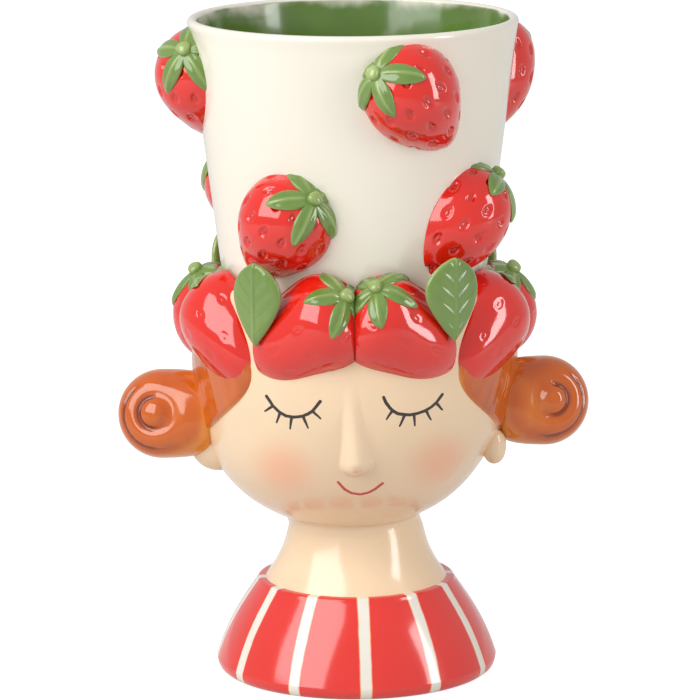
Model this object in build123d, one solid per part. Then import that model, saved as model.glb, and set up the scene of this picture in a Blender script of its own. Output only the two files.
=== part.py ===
from build123d import *
import math
import os

# Glazed ceramic cachepot in two parts: a bust with an open crown, and a pot that stands in it.
# The origin is the centre of the foot, +Z is up and the face looks along -Y. Sizes are millimetres.

# Shoulders, the flared striped base of the bust
FOOT_RADIUS = 64.5
FOOT_RING = 7.0
FOOT_RECESS = 1.5
SHOULDER_RADIUS = 68.5
SHOULDER_LOW = 5.5
SHOULDER_TURN = 5.0
SHOULDER_TURN_IN = 1.7
SHOULDER_BOW = 1.6
COLLAR_RADIUS = 48.3
COLLAR_HEIGHT = 45.0
COLLAR_EDGE = 1.2
SHOULDER_WALL = 5.5

# Neck and head
NECK_ROOT_RADIUS = 44.2
NECK_WAIST_RADIUS = 32.6
NECK_WAIST_HEIGHT = 71.5
CHIN_STEP = 0.6
CHIN_HEIGHT = 77.0
JAW_RADIUS = 63.2
JAW_HEIGHT = 101.5
CHEEK_RADIUS = 73.0
CHEEK_HEIGHT = 122.5
HEAD_RADIUS = 77.0
HEAD_WIDE_HEIGHT = 146.0
BROW_RADIUS = 75.0
BROW_HEIGHT = 188.5
RIM_HEIGHT = 195.5
RIM_CREST_RADIUS = 69.6
HEAD_WALL = 5.5
SHELF_HEIGHT = 165.0
SHELF_THICKNESS = 5.5
SHELF_HOLE_RADIUS = 50.0

# Nose
NOSE_RADIUS = 6.6
NOSE_LENGTH = 34.0
NOSE_HEIGHT = 119.5
NOSE_SIDEWAYS = 2.2
NOSE_BRIDGE_SIDEWAYS = -1.6
NOSE_PROUD = 8.5

# Hair: a low layer all round the head but the face, drawn out to a coiled bun on each side
HAIR_THICKNESS = 2.0
HAIR_NAPE_HEIGHT = 86.0
HAIR_TOP_HEIGHT = 176.0
NAPE_SIDE_HEIGHT = 117.0
NAPE_BACK = 52.0
NAPE_DROP = 12.0
FACE_TOP_HALF_WIDTH = 48.7
FACE_TOP_FLARE = 9.0
FACE_TOP_HEIGHT = 155.0
FACE_SIDE_HALF_WIDTH = 63.0
FACE_SIDE_HEIGHT = 133.5
FACE_LOW_HALF_WIDTH = 72.0
FACE_LOW_HEIGHT = 119.0
BUN_RADIUS = 21.7
BUN_DEPTH = 34.0
BUN_ROLL_RADIUS = 7.0
BUN_KNOB_RADIUS = 8.2
BUN_KNOB_PROUD = 3.2
BUN_GROOVE = 2.4
LEFT_BUN_REACH = 19.0
RIGHT_BUN_REACH = 16.2
BUN_NECK_RADIUS = 17.0
BUN_FORWARD = 6.0
BUN_OUT_TURN = 15.0
BUN_UP_TURN = 14.0
LEFT_BUN_HEIGHT = 127.5
RIGHT_BUN_HEIGHT = 133.0

# Ears, each half hidden under its bun
EAR_WIDTH = 15.0
EAR_HEIGHT = 20.0
EAR_THICKNESS = 13.0
EAR_DROP = 17.5
EAR_PROUD = 1.5
EAR_FORWARD = 19.0

# Pot
POT_HEIGHT = 155.0
POT_RIM_RADIUS = 79.3
POT_FOOT_RADIUS = 60.0
POT_WALL = 4.7
POT_FLOOR = 5.5
POT_FOOT_ROUND = 1.5
MOUTH_CLEARANCE = 2.2

# Strawberries on the pot: azimuth from the front, and the way that the tip leans
BERRY_LENGTH = 61.0
BERRY_WIDTH = 47.5
BERRY_SINK = 5.5
BERRY_LEAN = 8.0
UPPER_ROW_BELOW_RIM = 32.0
LOWER_ROW_ABOVE_HEAD = 30.5
UPPER_ROW = ((24.0, 38.0), (112.0, -22.0), (-169.0, -25.0), (-88.0, -31.0))
LOWER_ROW = ((49.5, -38.0), (138.0, 25.0), (-131.0, -20.0), (-32.0, -37.0))

# Strawberries of the wreath: azimuth, how far below the head's rim, and the lean of the tip,
# for the right half. The left half mirrors it.
CROWN_LENGTH = 64.0
CROWN_WIDTH = 47.0
CROWN_SINK = 12.5
CROWN_BERRIES = ((20.5, 18.5, 60.0), (58.5, 24.5, -77.0), (110.0, 24.5, 77.0), (154.5, 21.0, -65.0))
CROWN_JOINTS = (0.0, 36.0, 85.0, 132.5, 180.0)

# How a strawberry tapers towards its tip, and its calyx
BERRY_TAPER = 0.25
CALYX_THICKNESS = 1.7
CALYX_REACH = 21.0
CALYX_ROOT = 9.0
CALYX_LOBES = 5
CALYX_LEAN = 8.0
CROWN_CALYX_LEAN = 24.0
CROWN_CALYX_REACH = 18.0
STALK_RADIUS = 3.8
STALK_LENGTH = 3.0

# Leaves of the wreath, one over each joint between two strawberry tips
LEAF_LENGTH = 40.0
LEAF_WIDTH = 24.0
LEAF_THICKNESS = 6.0
LEAF_OUTER_RADIUS = 88.0
LEAF_ABOVE_RIM = 14.5
LEAF_AZIMUTHS = (33.0, 132.5)

# The boss behind each back leaf, which reaches the head between the two strawberries
BOSS_WIDTH = 11.0
BOSS_LOW = 178.0
BOSS_HIGH = 187.0

# The share of a quarter round that its middle point lies in from the corner
ROUND = 1 - math.sqrt(0.5)

POT_RIM_HEIGHT = SHELF_HEIGHT + POT_HEIGHT
POT_SLOPE = (POT_RIM_RADIUS - POT_FOOT_RADIUS) / POT_HEIGHT
TALL = 2 * POT_RIM_HEIGHT


def up(radius, height):
    """A point of a turned outline."""
    return (radius, 0, height)


def turned(*edges):
    """The solid turned round the object's own axis."""
    return revolve(make_face(Wire(edges)), Axis.Z)


def inset(points, wall):
    """The points moved inwards by a wall's thickness, square to the outline."""
    moved = []
    for i, (r, z) in enumerate(points):
        before = points[max(i - 1, 0)]
        after = points[min(i + 1, len(points) - 1)]
        dr, dz = after[0] - before[0], after[1] - before[1]
        run = math.hypot(dr, dz)
        moved.append((r - wall * dz / run, z + wall * dr / run))
    return moved


def radius_at(points, height):
    """The outline's radius at a height, between its points."""
    for (r0, z0), (r1, z1) in zip(points, points[1:]):
        if z0 <= height <= z1:
            return r0 + (r1 - r0) * (height - z0) / (z1 - z0)
    return points[0][0] if height < points[0][1] else points[-1][0]


def pot_radius(height):
    return POT_FOOT_RADIUS + POT_SLOPE * (height - SHELF_HEIGHT)


NECK = [
    (NECK_ROOT_RADIUS, COLLAR_HEIGHT),
    ((NECK_ROOT_RADIUS + 2 * NECK_WAIST_RADIUS) / 3, (COLLAR_HEIGHT + NECK_WAIST_HEIGHT) / 2),
    (NECK_WAIST_RADIUS, NECK_WAIST_HEIGHT),
]
HEAD = [
    (NECK_WAIST_RADIUS + CHIN_STEP, CHIN_HEIGHT),
    ((NECK_WAIST_RADIUS + JAW_RADIUS) / 2 + 1, (CHIN_HEIGHT + JAW_HEIGHT) / 2 - 3),
    (JAW_RADIUS, JAW_HEIGHT),
    (CHEEK_RADIUS, CHEEK_HEIGHT),
    (HEAD_RADIUS, HEAD_WIDE_HEIGHT),
    (BROW_RADIUS, BROW_HEIGHT),
]
MOUTH_RADIUS = pot_radius(BROW_HEIGHT) + MOUTH_CLEARANCE


def spline(points, **tangents):
    return Spline(*[up(r, z) for r, z in points], **tangents)


def rim_arc():
    """The rounded lip of the head, from its outside over the crest to the mouth."""
    crest = up(RIM_CREST_RADIUS, RIM_HEIGHT)
    outer = ThreePointArc(
        up(BROW_RADIUS, BROW_HEIGHT),
        up(BROW_RADIUS - ROUND * (BROW_RADIUS - RIM_CREST_RADIUS),
           RIM_HEIGHT - ROUND * (RIM_HEIGHT - BROW_HEIGHT)),
        crest)
    inner = ThreePointArc(
        crest,
        up(MOUTH_RADIUS + ROUND * (RIM_CREST_RADIUS - MOUTH_RADIUS),
           RIM_HEIGHT - ROUND * (RIM_CREST_RADIUS - MOUTH_RADIUS)),
        up(MOUTH_RADIUS, RIM_HEIGHT - (RIM_CREST_RADIUS - MOUTH_RADIUS)))
    return outer, inner


def head_core():
    """The head and neck filled solid: what the relief pieces are seated on."""
    neck, head = spline(NECK), spline(HEAD)
    outer, inner = rim_arc()
    low, lip = neck @ 0, inner @ 1
    return turned(
        Line((0, 0, low.Z), low), neck, Line(neck @ 1, head @ 0), head, outer, inner,
        Line(lip, (0, 0, lip.Z)), Line((0, 0, lip.Z), (0, 0, low.Z)))


def shoulder_points():
    low = (SHOULDER_RADIUS, SHOULDER_LOW)
    turn = (SHOULDER_RADIUS - SHOULDER_TURN_IN, SHOULDER_LOW + SHOULDER_TURN)
    top = (COLLAR_RADIUS, COLLAR_HEIGHT - COLLAR_EDGE)
    middle = ((turn[0] + top[0]) / 2 + SHOULDER_BOW, (turn[1] + top[1]) / 2)
    return [low, turn, middle, top]


def make_shoulders():
    """The base: a closed floor on a foot ring, with the raised collar edge round the neck."""
    points = shoulder_points()
    side = spline(points)
    tuck = ThreePointArc(
        up(FOOT_RADIUS, 0),
        up(SHOULDER_RADIUS - ROUND * (SHOULDER_RADIUS - FOOT_RADIUS), ROUND * SHOULDER_LOW),
        up(SHOULDER_RADIUS, SHOULDER_LOW))
    edge = ThreePointArc(
        side @ 1,
        up(COLLAR_RADIUS - 0.5 * COLLAR_EDGE, COLLAR_HEIGHT - 0.2 * COLLAR_EDGE),
        up(COLLAR_RADIUS - 1.6 * COLLAR_EDGE, COLLAR_HEIGHT))
    outside = turned(
        Line(up(0, 0), up(FOOT_RADIUS, 0)), tuck, side, edge,
        Line(edge @ 1, up(0, COLLAR_HEIGHT)), Line(up(0, COLLAR_HEIGHT), up(0, 0)))
    inner = [(r - SHOULDER_WALL, z) for r, z in points]
    top_radius = NECK_ROOT_RADIUS - HEAD_WALL
    inner[0] = (inner[0][0], SHOULDER_LOW + SHOULDER_WALL - 2)
    wall = spline(inner)
    hollow = turned(
        Line(up(0, inner[0][1]), wall @ 0), wall,
        Line(wall @ 1, up(top_radius, COLLAR_HEIGHT - COLLAR_EDGE)),
        Line(up(top_radius, COLLAR_HEIGHT - COLLAR_EDGE), up(top_radius, COLLAR_HEIGHT)),
        Line(up(top_radius, COLLAR_HEIGHT), up(0, COLLAR_HEIGHT)),
        Line(up(0, COLLAR_HEIGHT), up(0, inner[0][1])))
    recess = Pos(0, 0, FOOT_RECESS / 2) * Cylinder(FOOT_RADIUS - FOOT_RING, FOOT_RECESS)
    return outside - hollow - recess


def make_nose():
    """A ridge that runs down the face and ends in a round tip."""
    tip_y = -(radius_at(HEAD, NOSE_HEIGHT) + NOSE_PROUD - NOSE_RADIUS)
    bridge_height = NOSE_HEIGHT + NOSE_LENGTH
    bridge_y = -(radius_at(HEAD, bridge_height) - 1)
    tip = Vector(NOSE_SIDEWAYS, tip_y, NOSE_HEIGHT)
    ridge = Vector(NOSE_BRIDGE_SIDEWAYS, bridge_y, bridge_height) - tip
    end = up(0, ridge.length)
    side = Line(up(NOSE_RADIUS, 0), end)
    slant = (1 - ROUND) * NOSE_RADIUS
    cap = ThreePointArc(up(0, -NOSE_RADIUS), up(slant, -slant), up(NOSE_RADIUS, 0))
    drop = turned(cap, side, Line(end, up(0, -NOSE_RADIUS)))
    return Plane(origin=tip, x_dir=(1, 0, 0), z_dir=ridge) * drop


def make_head(core):
    """Head and neck in one shell, with the nose and the inner shelf that the pot stands on."""
    neck = inset(NECK, HEAD_WALL)
    neck[0] = (NECK_ROOT_RADIUS - HEAD_WALL, COLLAR_HEIGHT)
    under_shelf = SHELF_HEIGHT - SHELF_THICKNESS
    inner = inset(HEAD, HEAD_WALL)
    inner[0] = (NECK_WAIST_RADIUS - HEAD_WALL + CHIN_STEP, CHIN_HEIGHT + 1)
    low = spline(neck)
    belly = spline(inner)
    hollow = turned(
        Line((0, 0, COLLAR_HEIGHT), low @ 0), low, Line(low @ 1, belly @ 0), belly,
        Line(belly @ 1, up(MOUTH_RADIUS, BROW_HEIGHT + 1)),
        Line(up(MOUTH_RADIUS, BROW_HEIGHT + 1), up(MOUTH_RADIUS, TALL)),
        Line(up(MOUTH_RADIUS, TALL), up(0, TALL)),
        Line(up(0, TALL), (0, 0, COLLAR_HEIGHT)))
    shelf = Pos(0, 0, SHELF_HEIGHT - SHELF_THICKNESS / 2) * (
        Cylinder(HEAD_RADIUS - HEAD_WALL / 2, SHELF_THICKNESS)
        - Cylinder(SHELF_HOLE_RADIUS, SHELF_THICKNESS))
    return core - hollow + (shelf & core) + (make_nose() - hollow)


def hair_core():
    """The head with hair all round it, filled solid."""
    points = [(radius_at(HEAD, HAIR_NAPE_HEIGHT), HAIR_NAPE_HEIGHT)]
    points += [p for p in HEAD if HAIR_NAPE_HEIGHT < p[1] < HAIR_TOP_HEIGHT]
    points += [(radius_at(HEAD, HAIR_TOP_HEIGHT), HAIR_TOP_HEIGHT)]
    outer = inset(points, -HAIR_THICKNESS)
    outer[0] = (points[0][0] + 0.3, points[0][1] - 1)
    outer[-1] = (points[-1][0] + HAIR_THICKNESS, points[-1][1])
    side = spline(outer)
    return turned(
        Line(up(0, outer[0][1]), side @ 0), side,
        Line(side @ 1, up(0, outer[-1][1])), Line(up(0, outer[-1][1]), up(0, outer[0][1])))


def face_window():
    """The outline of the bare face, seen from the front, as a solid in front of the head."""
    right = [
        (FACE_TOP_HALF_WIDTH + FACE_TOP_FLARE, HAIR_TOP_HEIGHT + 5),
        (FACE_TOP_HALF_WIDTH, FACE_TOP_HEIGHT),
        (FACE_SIDE_HALF_WIDTH, FACE_SIDE_HEIGHT),
        (FACE_LOW_HALF_WIDTH, FACE_LOW_HEIGHT),
    ]
    low = HAIR_NAPE_HEIGHT - 10
    wide = HEAD_RADIUS + 10
    edges = []
    for sign in (1, -1):
        pts = [(sign * x, 0, z) for x, z in right]
        corner = (sign * wide, 0, FACE_LOW_HEIGHT - 4)
        edges += [Spline(*pts), Line(pts[-1], corner), Line(corner, (sign * wide, 0, low))]
    edges.append(Line((wide, 0, low), (-wide, 0, low)))
    top = [(sign * right[0][0], 0, right[0][1]) for sign in (1, -1)]
    edges.append(Line(*top))
    return extrude(make_face(Wire(edges)), amount=2 * HEAD_RADIUS, dir=(0, -1, 0))


def nape_window():
    """The bare skin behind the ears, seen from the side, below a hairline that drops to the nape."""
    low = HAIR_NAPE_HEIGHT - 10
    ear, nape = (0, 0, NAPE_SIDE_HEIGHT), (0, NAPE_BACK, HAIR_NAPE_HEIGHT)
    line = ThreePointArc(ear, (0, NAPE_BACK / 2, (NAPE_SIDE_HEIGHT + HAIR_NAPE_HEIGHT - NAPE_DROP) / 2), nape)
    edges = [line, Line(nape, (0, NAPE_BACK, low)), Line((0, NAPE_BACK, low), (0, 0, low)),
             Line((0, 0, low), ear)]
    return extrude(make_face(Wire(edges)), amount=2 * HEAD_RADIUS, dir=(1, 0, 0), both=True)


def make_bun(side, height, reach, skin):
    """A roll of hair wound round a domed knob, pressed against the side of the head."""
    r, roll, groove = BUN_RADIUS, BUN_ROLL_RADIUS, BUN_GROOVE
    half = BUN_DEPTH / 2
    front = half - roll * 0.35
    knob = BUN_KNOB_RADIUS
    bottom = (knob + 0.6, front - groove)
    shoulder = (r - 0.9 * roll, front)
    top = (0, front + BUN_KNOB_PROUD)
    edges = [
        spline([(0, -half), (0.72 * r, -0.72 * half), (r, 0), (r - 0.2 * roll, front - 0.55 * roll), shoulder],
               tangents=(up(1, 0), up(-1, 0))),
        spline([shoulder, (knob + 0.35 * groove + 1.4, front - 0.3 * groove), bottom]),
        spline([bottom, (0.72 * knob, front + 0.45 * BUN_KNOB_PROUD), top]),
        Line(up(*top), up(0, -half)),
    ]
    roll_up = turned(*edges)
    facing = (
        side * math.sin(math.radians(BUN_OUT_TURN)),
        -math.cos(math.radians(BUN_OUT_TURN)),
        math.sin(math.radians(BUN_UP_TURN)))
    out = radius_at(HEAD, height) + reach
    centre = (side * out, -BUN_FORWARD, height)
    bun = Plane(origin=centre, x_dir=(0, 0, 1), z_dir=facing) * roll_up
    neck = Pos(side * out / 2, -BUN_FORWARD, height) * Rot(0, 90, 0) * Cylinder(BUN_NECK_RADIUS, out)
    return bun + neck - skin


def make_ear(side, height, skin, bun):
    """A small lobe at the jaw, under the bun."""
    lobe = scale(Sphere(1), by=(EAR_THICKNESS / 2, EAR_WIDTH / 2, EAR_HEIGHT / 2))
    z = height - EAR_DROP
    reach = math.sqrt(max(radius_at(HEAD, z) ** 2 - EAR_FORWARD ** 2, 1))
    place = Pos(side * (reach + EAR_PROUD), -EAR_FORWARD, z)
    return place * lobe - skin - bun


def make_pot():
    """The tapered pot: a plain wall with a rounded rim and a flat floor."""
    lip = POT_WALL / 2
    rim, top = POT_RIM_RADIUS, POT_RIM_HEIGHT
    floor = SHELF_HEIGHT + POT_FLOOR
    outer_low = up(pot_radius(SHELF_HEIGHT + POT_FOOT_ROUND), SHELF_HEIGHT + POT_FOOT_ROUND)
    foot_in = up(POT_FOOT_RADIUS - POT_FOOT_ROUND, SHELF_HEIGHT)
    outer_top, inner_top = up(pot_radius(top - lip), top - lip), up(rim - POT_WALL, top - lip)
    inner_low = up(pot_radius(floor) - POT_WALL, floor)
    return turned(
        Line(up(0, SHELF_HEIGHT), foot_in),
        ThreePointArc(foot_in, up(POT_FOOT_RADIUS - 0.25 * POT_FOOT_ROUND,
                                  SHELF_HEIGHT + 0.35 * POT_FOOT_ROUND), outer_low),
        Line(outer_low, outer_top),
        ThreePointArc(outer_top, up(rim - lip, top), inner_top),
        Line(inner_top, inner_low), Line(inner_low, up(0, floor)),
        Line(up(0, floor), up(0, SHELF_HEIGHT)))


def pot_core():
    """The pot filled solid and taller than it is, to cut what is seated on it."""
    return turned(
        Line(up(0, SHELF_HEIGHT), up(POT_FOOT_RADIUS, SHELF_HEIGHT)),
        Line(up(POT_FOOT_RADIUS, SHELF_HEIGHT), up(pot_radius(TALL), TALL)),
        Line(up(pot_radius(TALL), TALL), up(0, TALL)), Line(up(0, TALL), up(0, SHELF_HEIGHT)))


def berry(length, width):
    """A strawberry turned about its own axis, with the tip at -Z."""
    stations = (-1, -0.8, -0.4, 0.1, 0.55, 0.88, 1)
    points = []
    for s in stations:
        r = width / 2 * math.sqrt(1 - s * s) * (1 + BERRY_TAPER * s) / (1 + BERRY_TAPER ** 2 / 2)
        points.append(up(r, s * length / 2))
    side = Spline(*points, tangents=((1, 0, 0), (-1, 0, 0)))
    return turned(side, Line(side @ 1, side @ 0))


def leaning(azimuth, height, radius, lean, slope, outward):
    """The plane of a strawberry on a wall: its Z runs from the tip to the stalk."""
    a, s, o = math.radians(azimuth), math.radians(lean), math.radians(outward)
    out = Vector(math.sin(a), -math.cos(a), 0)
    across = Vector(math.cos(a), math.sin(a), 0)
    tilt = math.atan(slope)
    normal = out * math.cos(tilt) - Vector(0, 0, 1) * math.sin(tilt)
    upward = out * math.sin(tilt) + Vector(0, 0, 1) * math.cos(tilt)
    flat_axis = upward * math.cos(s) - across * math.sin(s)
    axis = flat_axis * math.cos(o) + normal * math.sin(o)
    side = across * math.cos(s) + upward * math.sin(s)
    return Plane(origin=out * radius + Vector(0, 0, height), x_dir=side, z_dir=axis)


def calyx_star(reach):
    """The outline of the calyx: pointed lobes round its middle."""
    edges = []
    step = 360 / CALYX_LOBES
    for i in range(CALYX_LOBES):
        marks = []
        for turn, radius in ((-0.5, CALYX_ROOT), (-0.22, (CALYX_ROOT + reach) / 2), (0, reach),
                             (0.22, (CALYX_ROOT + reach) / 2), (0.5, CALYX_ROOT)):
            a = math.radians((i + turn) * step)
            marks.append((radius * math.cos(a), radius * math.sin(a)))
        edges += [ThreePointArc(*marks[:3]), ThreePointArc(*marks[2:])]
    return make_face(Wire(edges))


def make_calyx(length, width, reach, lean_by):
    """A star of lobes that drapes over the stalk end of a strawberry, with the stub of the stalk."""
    skin = berry(length + 2 * CALYX_THICKNESS, width + 2 * CALYX_THICKNESS) - berry(length, width)
    lean = Plane.XY.rotated((lean_by, 0, 0))
    star = extrude(calyx_star(reach), amount=length)
    turn = math.radians(lean_by)
    reach_out = 1 / math.hypot(2 * math.cos(turn) / length, 2 * math.sin(turn) / width) + STALK_LENGTH
    stub = Pos(0, 0, reach_out / 2) * Cylinder(STALK_RADIUS, reach_out)
    stub = fillet(stub.edges().sort_by(Axis.Z)[-1], 0.8 * STALK_RADIUS)
    return (skin & lean * star) + (lean * stub - berry(length, width))


def make_berries_on_pot(core):
    """Each strawberry of the two rows, with its calyx."""
    pieces = {}
    fruit = berry(BERRY_LENGTH, BERRY_WIDTH)
    calyx = make_calyx(BERRY_LENGTH, BERRY_WIDTH, CALYX_REACH, CALYX_LEAN)
    upper = [(a, POT_RIM_HEIGHT - UPPER_ROW_BELOW_RIM, lean) for a, lean in UPPER_ROW]
    lower = [(a, RIM_HEIGHT + LOWER_ROW_ABOVE_HEAD, lean) for a, lean in LOWER_ROW]
    for number, (azimuth, height, lean) in enumerate(upper + lower, 1):
        plane = leaning(azimuth, height, pot_radius(height) - BERRY_SINK, lean, POT_SLOPE, BERRY_LEAN)
        pieces[f"pot_berry_{number}"] = plane * fruit - core
        pieces[f"pot_calyx_{number}"] = plane * calyx - core
    return pieces


def sector(start, end):
    """A wedge of space round the axis, between two azimuths under half a turn apart."""
    reach = 3 * HEAD_RADIUS
    rays = []
    for azimuth in (start, (start + end) / 2, end):
        a = math.radians(azimuth)
        rays.append((reach * math.sin(a), -reach * math.cos(a), 0))
    edges = [Line((0, 0, 0), rays[0]), Line(rays[0], rays[1]), Line(rays[1], rays[2]),
             Line(rays[2], (0, 0, 0))]
    return extrude(make_face(Wire(edges)), amount=TALL, dir=(0, 0, 1))


def make_crown(seat, hairy):
    """The wreath's strawberries and calyxes, each in its own wedge so that they meet in a plane."""
    pieces = {}
    fruit = berry(CROWN_LENGTH, CROWN_WIDTH)
    calyx = make_calyx(CROWN_LENGTH, CROWN_WIDTH, CROWN_CALYX_REACH, CROWN_CALYX_LEAN)
    number = 0
    for side in (1, -1):
        for i, (azimuth, drop, lean) in enumerate(CROWN_BERRIES):
            number += 1
            plane = leaning(side * azimuth, RIM_HEIGHT - drop, HEAD_RADIUS - CROWN_SINK, side * lean, 0, 0)
            wedge = sector(side * CROWN_JOINTS[i], side * CROWN_JOINTS[i + 1])
            pieces[f"crown_berry_{number}"] = (plane * fruit & wedge) - seat
            pieces[f"crown_calyx_{number}"] = (plane * calyx & wedge) - seat - hairy
    return pieces


def make_leaf(azimuth, core, crown, first, bossed):
    """A pointed leaf that stands against the joint between two strawberries."""
    top = RIM_HEIGHT + LEAF_ABOVE_RIM
    half, low = LEAF_WIDTH / 2, top - LEAF_LENGTH
    widest = top - 0.42 * LEAF_LENGTH
    edges = []
    for sign in (1, -1):
        edges += [
            ThreePointArc((0, 0, top), (sign * 0.74 * half, 0, top - 0.15 * LEAF_LENGTH),
                          (sign * half, 0, widest)),
            ThreePointArc((sign * half, 0, widest), (sign * 0.62 * half, 0, (widest + low) / 2 - 1),
                          (0, 0, low))]
    blade = extrude(make_face(Wire(edges)), amount=2 * HEAD_RADIUS, dir=(0, -1, 0))
    middle = (top + low) / 2
    shell = Pos(0, 0, middle) * (
        Cylinder(LEAF_OUTER_RADIUS, 2 * LEAF_LENGTH)
        - Cylinder(LEAF_OUTER_RADIUS - LEAF_THICKNESS, 2 * LEAF_LENGTH))
    leaf = blade & shell
    if bossed:
        deep = LEAF_OUTER_RADIUS - LEAF_THICKNESS / 2
        leaf += Pos(0, -deep / 2, (BOSS_LOW + BOSS_HIGH) / 2) * Box(BOSS_WIDTH, deep, BOSS_HIGH - BOSS_LOW)
    leaf = Rot(0, 0, azimuth) * leaf
    return leaf - core - crown[f"crown_berry_{first}"] - crown[f"crown_berry_{first + 1}"]


os.makedirs("parts", exist_ok=True)

core = head_core()
hairy = hair_core()
throat = Pos(0, 0, RIM_HEIGHT + BROW_HEIGHT) * Cylinder(RIM_CREST_RADIUS, 2 * RIM_HEIGHT)
crown = make_crown(core + throat, hairy)
nodes = {"shoulders": make_shoulders(), "head": make_head(core)}
hair = hairy - core - face_window() - nape_window()
for name, solid in crown.items():
    if "berry" in name:
        hair -= solid
nodes["hair"] = hair
for name, side, height, reach in (
        ("left", -1, LEFT_BUN_HEIGHT, LEFT_BUN_REACH), ("right", 1, RIGHT_BUN_HEIGHT, RIGHT_BUN_REACH)):
    bun = make_bun(side, height, reach, hairy)
    nodes[f"bun_{name}"] = bun
    nodes[f"ear_{name}"] = make_ear(side, height, core, bun) - hair
nodes.update(crown)
nodes_before_leaves = len(nodes)
for i, azimuth in enumerate(LEAF_AZIMUTHS):
    for side, first in ((1, 2 * i + 1), (-1, 2 * i + 1 + len(CROWN_BERRIES))):
        leaf = make_leaf(side * azimuth, core, crown, first, i > 0)
        nodes[f"crown_leaf_{len(nodes) - nodes_before_leaves + 1}"] = leaf
nodes["pot"] = make_pot()
nodes.update(make_berries_on_pot(pot_core()))

for name, solid in nodes.items():
    solid.label = name
    export_step(solid, f"parts/{name}.step")
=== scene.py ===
import math

import bpy
import numpy as np
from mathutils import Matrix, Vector


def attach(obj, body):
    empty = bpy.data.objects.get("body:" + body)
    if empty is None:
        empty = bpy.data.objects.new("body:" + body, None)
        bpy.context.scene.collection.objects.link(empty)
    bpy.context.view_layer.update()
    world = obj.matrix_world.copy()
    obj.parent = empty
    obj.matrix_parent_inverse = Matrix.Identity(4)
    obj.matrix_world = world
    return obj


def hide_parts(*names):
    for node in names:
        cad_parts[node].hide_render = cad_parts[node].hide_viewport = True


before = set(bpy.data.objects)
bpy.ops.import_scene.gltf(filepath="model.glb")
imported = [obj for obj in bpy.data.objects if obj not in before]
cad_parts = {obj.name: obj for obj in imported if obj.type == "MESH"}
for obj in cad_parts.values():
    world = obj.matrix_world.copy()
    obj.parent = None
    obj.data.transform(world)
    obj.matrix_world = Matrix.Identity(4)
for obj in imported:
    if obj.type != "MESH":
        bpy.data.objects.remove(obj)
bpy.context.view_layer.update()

# Shoulders: the flared base of the bust, cast hollow in white earthenware, with a closed floor
# on a foot ring. Red glaze, with white stripes brushed down it from the collar edge and a thin
# orange line where the two glazes meet.
MM = 0.001
FOOT_RADIUS = 64.5
SHOULDER_RADIUS = 68.5
COLLAR_RADIUS = 48.3
COLLAR_HEIGHT = 45.0
NECK_ROOT_RADIUS = 44.2
WALL = 5.5
STRIPES = 12
STRIPE_WIDTH = 5.4
STRIPE_TURN = 3.8


def smooth(points, steps=6):
    """A natural cubic curve through the points of an outline."""
    p = np.array(points, float)
    n = len(p)
    h = np.hypot(*np.diff(p, axis=0).T)
    a, b = np.eye(n), np.zeros((n, 2))
    for i in range(1, n - 1):
        a[i, i - 1:i + 2] = h[i - 1], 2 * (h[i - 1] + h[i]), h[i]
        b[i] = 6 * ((p[i + 1] - p[i]) / h[i] - (p[i] - p[i - 1]) / h[i - 1])
    m = np.linalg.solve(a, b)
    out = []
    for i in range(n - 1):
        for s in np.linspace(0, 1, steps, endpoint=False):
            u, w = s * h[i], (1 - s) * h[i]
            bend = (m[i] * w ** 3 + m[i + 1] * u ** 3) / (6 * h[i])
            start = (p[i] / h[i] - m[i] * h[i] / 6) * w
            end = (p[i + 1] / h[i] - m[i + 1] * h[i] / 6) * u
            out.append(bend + start + end)
    return [tuple(q) for q in out + [p[-1]]]


def turn(name, outline, around=192):
    """A turned piece: a ring at the outline's first point, drawn out along the rest and closed."""
    bpy.ops.object.select_all(action="DESELECT")
    r, z = outline[0]
    bpy.ops.mesh.primitive_circle_add(vertices=around, radius=r * MM, location=(0, 0, z * MM))
    piece = bpy.context.object
    piece.name = piece.data.name = name
    bpy.ops.object.transform_apply(location=True)
    bpy.ops.object.mode_set(mode="EDIT")
    bpy.ops.mesh.select_all(action="SELECT")
    if outline[-1] != outline[0]:
        bpy.ops.mesh.edge_face_add()
    for (r0, z0), (r1, z1) in zip(outline, outline[1:]):
        bpy.ops.mesh.extrude_region_move(TRANSFORM_OT_translate={"value": (0, 0, (z1 - z0) * MM)})
        bpy.ops.transform.resize(value=(r1 / r0, r1 / r0, 1), center_override=(0, 0, z1 * MM))
    bpy.ops.mesh.select_all(action="SELECT")
    bpy.ops.mesh.remove_doubles(threshold=0.00001)
    bpy.ops.mesh.normals_make_consistent(inside=False)
    bpy.ops.object.mode_set(mode="OBJECT")
    bpy.ops.object.shade_smooth_by_angle(angle=math.radians(50))
    return piece


def dress(piece, material, body, slot, *nodes):
    """Gives a finished piece its glaze and its body, and hides the CAD nodes that it stands for; the slot is
    not used.
    """
    piece.data.materials.clear()
    piece.data.materials.append(material)
    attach(piece, body)
    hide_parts(*nodes)


def rgb(r, g, b):
    """A colour as it looks on screen, as the shader takes it."""
    shares = [c / 255 for c in (r, g, b)]
    return tuple(c / 12.92 if c <= 0.04 else ((c + 0.055) / 1.055) ** 2.4 for c in shares) + (1,)


def group(name, ins, outs):
    """A new shader node group with named sockets; gives its tree and its two end nodes."""
    tree = bpy.data.node_groups.new(name, "ShaderNodeTree")
    kinds = {"v": "NodeSocketVector", "f": "NodeSocketFloat", "c": "NodeSocketColor"}
    for label, kind, value in ins:
        socket = tree.interface.new_socket(label, in_out="INPUT", socket_type=kinds[kind])
        if value is not None:
            socket.default_value = value
    for label, kind in outs:
        tree.interface.new_socket(label, in_out="OUTPUT", socket_type=kinds[kind])
    return tree, tree.nodes.new("NodeGroupInput"), tree.nodes.new("NodeGroupOutput")


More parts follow.
